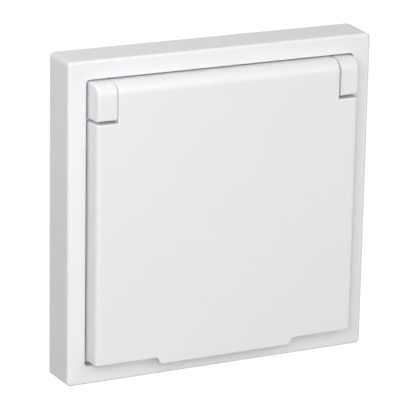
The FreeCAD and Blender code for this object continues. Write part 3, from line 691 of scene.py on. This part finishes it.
class SOCKET_OT_dress_insert(Operator):
    """Gives the base, its rear cover and the release levers their moulded finishes"""

    bl_idname = "socket.dress_insert"
    bl_label = "Dress the insert"

    def execute(self, context):
        finish = context.scene.socket_finish
        base = moulded(
            "Pale thermoset", finish.base,
            roughness=0.55, roughness_spread=0.1, texture_scale=3000.0, bump=0.00002,
        )
        cover = moulded(
            "Dark rear moulding", finish.base_cover,
            roughness=0.5, roughness_spread=0.1, texture_scale=3400.0, bump=0.00002,
        )
        lever = moulded(
            "Orange lever moulding", finish.lever,
            roughness=0.4, roughness_spread=0.08, texture_scale=4200.0, bump=0.00001,
        )
        dress(("socket_base",), base)
        dress(("base_rear_cover",), cover)
        dress(LEVERS, lever)
        return {"FINISHED"}


class SOCKET_OT_dress_metal(Operator):
    """Gives the steel and brass parts their rolled, drawn and plated finishes"""

    bl_idname = "socket.dress_metal"
    bl_label = "Dress the metal parts"

    def execute(self, context):
        finish = context.scene.socket_finish
        sheet = worked_metal(
            "Zinc-plated sheet", finish.zinc_sheet,
            roughness=0.34, line_scale=(260.0, 3600.0, 3600.0), tarnish=0.3, bump=0.000006,
        )
        spring = worked_metal(
            "Spring steel", finish.spring_steel,
            roughness=0.26, line_scale=(3600.0, 300.0, 300.0), tarnish=0.12, bump=0.000004,
        )
        turned = worked_metal(
            "Turned steel", finish.turned_steel,
            roughness=0.22, line_scale=(5200.0, 500.0, 500.0), tarnish=0.08, bump=0.000004,
        )
        brass = worked_metal(
            "Rolled brass", finish.brass,
            roughness=0.28, line_scale=(3800.0, 280.0, 280.0), tarnish=0.22, bump=0.000005,
        )
        dress(SHEET_PARTS, sheet)
        dress(("lid_spring",), spring)
        dress(TURNED_STEEL, turned)
        dress(BRASS_PARTS, brass)
        return {"FINISHED"}


class SOCKET_OT_make_clamp_springs(Operator):
    """Makes the terminal springs as copies of the CAD springs, riding the housing, with a
    spring-steel finish
    """

    bl_idname = "socket.make_clamp_springs"
    bl_label = "Make the clamp springs"

    def execute(self, context):
        steel = worked_metal(
            "Clamp spring steel", context.scene.socket_finish.spring_steel,
            roughness=0.26, line_scale=(300.0, 3600.0, 300.0), tarnish=0.12, bump=0.000004,
        )
        for pole in POLES:
            name = "clamp_spring_" + pole
            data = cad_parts[name].data.copy()
            data.materials.clear()
            piece = mesh_piece(name + "_giving", data, "housing", steel, name)
            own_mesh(piece)
        return {"FINISHED"}


class SOCKET_OT_make_screws(Operator):
    """Makes the centre screw and the two claw screws with thread and cross drive"""

    bl_idname = "socket.make_screws"
    bl_label = "Make the screws"

    def execute(self, context):
        settings = context.scene.socket_screws
        plated = worked_metal(
            "Plated screw steel", context.scene.socket_finish.screw_steel,
            roughness=0.27, line_scale=(900.0, 5200.0, 900.0), tarnish=0.2, bump=0.000004,
        )
        for name, body in SCREWS:
            low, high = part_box(name)
            centre = (low + high) / 2
            head_r = (high.x - low.x) / 2
            data = screw_mesh(settings, name, centre, low.y, high.y, head_r)
            piece = mesh_piece(name + "_threaded", data, body, plated, name)
            cut_away(piece, drive_cutter(settings, centre, low.y, head_r))
            smooth_by_angle(piece.data, SHARP_ANGLE)
        return {"FINISHED"}


def look_matrix(stage):
    """The camera's turn: yaw towards the right, pitch down, then roll."""
    yaw, pitch, roll = stage.yaw, stage.pitch, stage.roll
    forward = Vector((
        math.sin(yaw) * math.cos(pitch), math.cos(yaw) * math.cos(pitch), -math.sin(pitch)
    ))
    right = forward.cross(Vector((0, 0, 1))).normalized()
    down = forward.cross(right).normalized()
    turned_right = math.cos(roll) * right + math.sin(roll) * down
    turned_down = -math.sin(roll) * right + math.cos(roll) * down
    turn = Matrix((turned_right, -turned_down, -forward)).transposed()
    return Matrix.Translation(stage.camera_place) @ turn.to_4x4()


def add_camera(stage):
    """The photograph's camera."""
    data = bpy.data.cameras.new("photograph_camera")
    data.sensor_width = SENSOR_MM
    data.lens = stage.focal_px / PHOTO_WIDTH_PX * SENSOR_MM
    data.clip_start = CLIP_START
    camera = bpy.data.objects.new("photograph_camera", data)
    camera.matrix_world = look_matrix(stage)
    bpy.context.scene.collection.objects.link(camera)
    bpy.context.scene.camera = camera


def add_lamp(name, azimuth, elevation, distance, power):
    """A square lamp that looks at the socket; angles in degrees, azimuth from straight ahead."""
    data = bpy.data.lights.new(name, "AREA")
    data.shape = "SQUARE"
    data.size = LAMP_SIZE_SHARE * distance
    data.energy = power
    lamp = bpy.data.objects.new(name, data)
    turn, rise = math.radians(azimuth), math.radians(elevation)
    place = distance * Vector((
        math.sin(turn) * math.cos(rise), -math.cos(turn) * math.cos(rise), math.sin(rise)
    ))
    aim = (-place).to_track_quat("-Z", "Y")
    lamp.matrix_world = Matrix.Translation(place) @ aim.to_matrix().to_4x4()
    lamp.visible_camera = False
    bpy.context.scene.collection.objects.link(lamp)


def background_rays(tree):
    """1 for rays that see the background: camera, mirror-like and through glass."""
    path = tree.nodes.new("ShaderNodeLightPath")
    seen = math_node(
        tree, "MAXIMUM", path.outputs["Is Camera Ray"], path.outputs["Is Glossy Ray"]
    )
    return math_node(tree, "MAXIMUM", seen, path.outputs["Is Transmission Ray"])


def set_world(stage):
    """Even light from all round, which the camera sees as a white backdrop."""
    world = bpy.data.worlds.new("pale_room")
    bpy.context.scene.world = world
    world.use_nodes = True
    tree = world.node_tree
    backdrop = tree.nodes["Background"]
    level = spread(tree, background_rays(tree), stage.room_level, 1.0)
    backdrop.inputs["Color"].default_value = BACKDROP_WHITE
    tree.links.new(level, backdrop.inputs["Strength"])


def add_floor(stage):
    """A plain pale floor under the socket."""
    low, _ = cad_box
    z = low[2] - stage.floor_drop
    mesh = bpy.data.meshes.new("floor")
    corners = [
        (-FLOOR_HALF, -FLOOR_HALF, z), (FLOOR_HALF, -FLOOR_HALF, z),
        (FLOOR_HALF, FLOOR_HALF, z), (-FLOOR_HALF, FLOOR_HALF, z),
    ]
    mesh.from_pydata(corners, [], [(0, 1, 2, 3)])
    floor = bpy.data.objects.new("floor", mesh)
    bpy.context.scene.collection.objects.link(floor)
    material = bpy.data.materials.new("Pale floor")
    material.use_nodes = True
    tree = material.node_tree
    shader = tree.nodes["Principled BSDF"]
    shader.inputs["Base Color"].default_value = FLOOR_COLOUR
    shader.inputs["Roughness"].default_value = 0.9
    shader.inputs["Specular IOR Level"].default_value = 0.1
    shader.inputs["Emission Color"].default_value = BACKDROP_WHITE
    glow = spread(tree, background_rays(tree), 0.0, stage.floor_glow)
    tree.links.new(glow, shader.inputs["Emission Strength"])
    mesh.materials.append(material)


class SOCKET_OT_set_stage(Operator):
    """Sets the photograph's camera, a pale floor and soft studio light"""

    bl_idname = "socket.set_stage"
    bl_label = "Set the stage"

    def execute(self, context):
        stage = context.scene.socket_stage
        add_camera(stage)
        add_floor(stage)
        set_world(stage)
        for name, azimuth, elevation, distance, power in LAMPS:
            add_lamp(name, azimuth, elevation, distance, getattr(stage, power))
        context.scene.view_settings.view_transform = "Standard"
        return {"FINISHED"}


class SOCKET_PT_panel(Panel):
    """Steps and settings of the weatherproof socket"""

    bl_label = "Weatherproof flush socket"
    bl_idname = "SOCKET_PT_panel"
    bl_space_type = "VIEW_3D"
    bl_region_type = "UI"
    bl_category = "Socket"

    def draw(self, context):
        layout = self.layout
        for step in STEPS:
            layout.operator(step.bl_idname)
        for title, group in (
            ("Finish", context.scene.socket_finish),
            ("Screws", context.scene.socket_screws),
            ("Stage", context.scene.socket_stage),
        ):
            column = layout.column()
            column.label(text=title)
            for label in group.__annotations__:
                column.prop(group, label)


STEPS = (
    SOCKET_OT_dress_mouldings,
    SOCKET_OT_dress_seals,
    SOCKET_OT_dress_insert,
    SOCKET_OT_dress_metal,
    SOCKET_OT_make_clamp_springs,
    SOCKET_OT_make_screws,
    SOCKET_OT_set_stage,
)
CLASSES = (SocketFinishSettings, SocketScrewSettings, SocketStageSettings) + STEPS + (
    SOCKET_PT_panel,
)


def register():
    for cls in CLASSES:
        bpy.utils.register_class(cls)
    bpy.types.Scene.socket_finish = PointerProperty(type=SocketFinishSettings)
    bpy.types.Scene.socket_screws = PointerProperty(type=SocketScrewSettings)
    bpy.types.Scene.socket_stage = PointerProperty(type=SocketStageSettings)


def unregister():
    del bpy.types.Scene.socket_stage
    del bpy.types.Scene.socket_screws
    del bpy.types.Scene.socket_finish
    for cls in reversed(CLASSES):
        bpy.utils.unregister_class(cls)


def main():
    register()
    bpy.ops.socket.dress_mouldings()
    bpy.ops.socket.dress_seals()
    bpy.ops.socket.dress_insert()
    bpy.ops.socket.dress_metal()
    bpy.ops.socket.make_clamp_springs()
    bpy.ops.socket.make_screws()
    bpy.ops.socket.set_stage()


if __name__ == "__main__":
    main()
